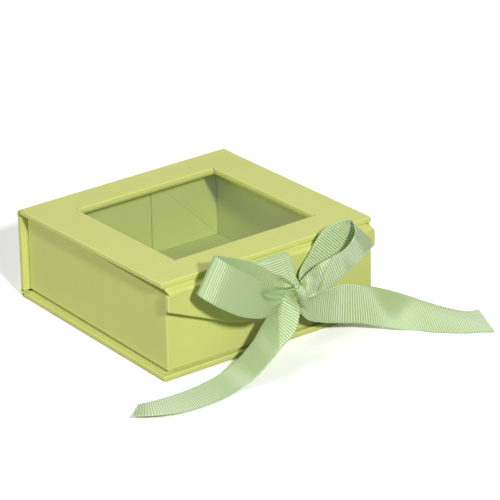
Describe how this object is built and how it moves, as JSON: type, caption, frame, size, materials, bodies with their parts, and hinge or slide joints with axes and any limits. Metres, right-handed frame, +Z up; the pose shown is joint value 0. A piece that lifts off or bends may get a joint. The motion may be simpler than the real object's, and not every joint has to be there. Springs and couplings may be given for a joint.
{
  "type": "favor box",
  "caption": "Book-style favour box of paper-wrapped board: hinged lid with a clear window, round front flap on hidden magnets, tray inside, tied ribbon bow",
  "frame": {"origin": "centre of the underside of the base, on the table", "axes": "X left to right along the front, Y from the front flap to the spine, Z up"},
  "size_m": [0.1609, 0.1445, 0.0518],
  "materials": {
    "cover_paper": "satin yellow-green wrapping paper with faint fibre",
    "lining_paper": "matt green lining paper",
    "grey_board": "uncoated grey board",
    "clear_film": "clear glossy film",
    "steel_disc": "plated steel",
    "magnet": "nickel plated magnet",
    "adhesive_tape": "double-sided tape under its backing paper",
    "ribbon": "ribbed grosgrain ribbon with a soft sheen"
  },
  "bodies": {
    "case": {"base_board": "grey_board", "base_cover_paper": "cover_paper", "base_liner_paper": "lining_paper", "base_fold_paper": "cover_paper", "spine_board": "grey_board", "spine_cover_paper": "cover_paper", "spine_liner_paper": "lining_paper", "lid_hinge_paper": "cover_paper", "front_wall_board": "grey_board", "front_wall_paper": "cover_paper", "right_wall_board": "grey_board", "right_wall_paper": "cover_paper", "rear_wall_board": "grey_board", "rear_wall_paper": "cover_paper", "left_wall_board": "grey_board", "left_wall_paper": "cover_paper", "tray_floor_paper": "lining_paper", "front_left_gusset": "cover_paper", "front_right_gusset": "cover_paper", "rear_right_gusset": "cover_paper", "rear_left_gusset": "cover_paper", "gusset_tapes": "adhesive_tape", "closure_discs": "steel_disc"},
    "lid": {"lid_board": "grey_board", "lid_cover_paper": "cover_paper", "lid_liner_paper": "lining_paper", "window_film": "clear_film", "flap_hinge_paper": "cover_paper"},
    "flap": {"flap_board": "grey_board", "flap_cover_paper": "cover_paper", "flap_liner_paper": "lining_paper", "flap_magnets": "magnet", "ribbon_root": "ribbon", "bow_knot": "ribbon", "bow_loop_left": "ribbon", "bow_loop_right": "ribbon", "ribbon_tail_left": "ribbon", "ribbon_tail_right": "ribbon"}
  },
  "joints": [
    {"name": "lid_hinge", "type": "hinge", "parent": "case", "child": "lid", "pos_m": [0, 0.0499, 0.0358], "axis": [-1, 0, 0], "range_deg": [0, 180], "deforming": ["lid_hinge_paper"]},
    {"name": "flap_hinge", "type": "hinge", "parent": "lid", "child": "flap", "pos_m": [0, -0.04995, 0.03894], "axis": [-1, 0, 0], "range_deg": [0, 90], "deforming": ["flap_hinge_paper"]}
  ]
}
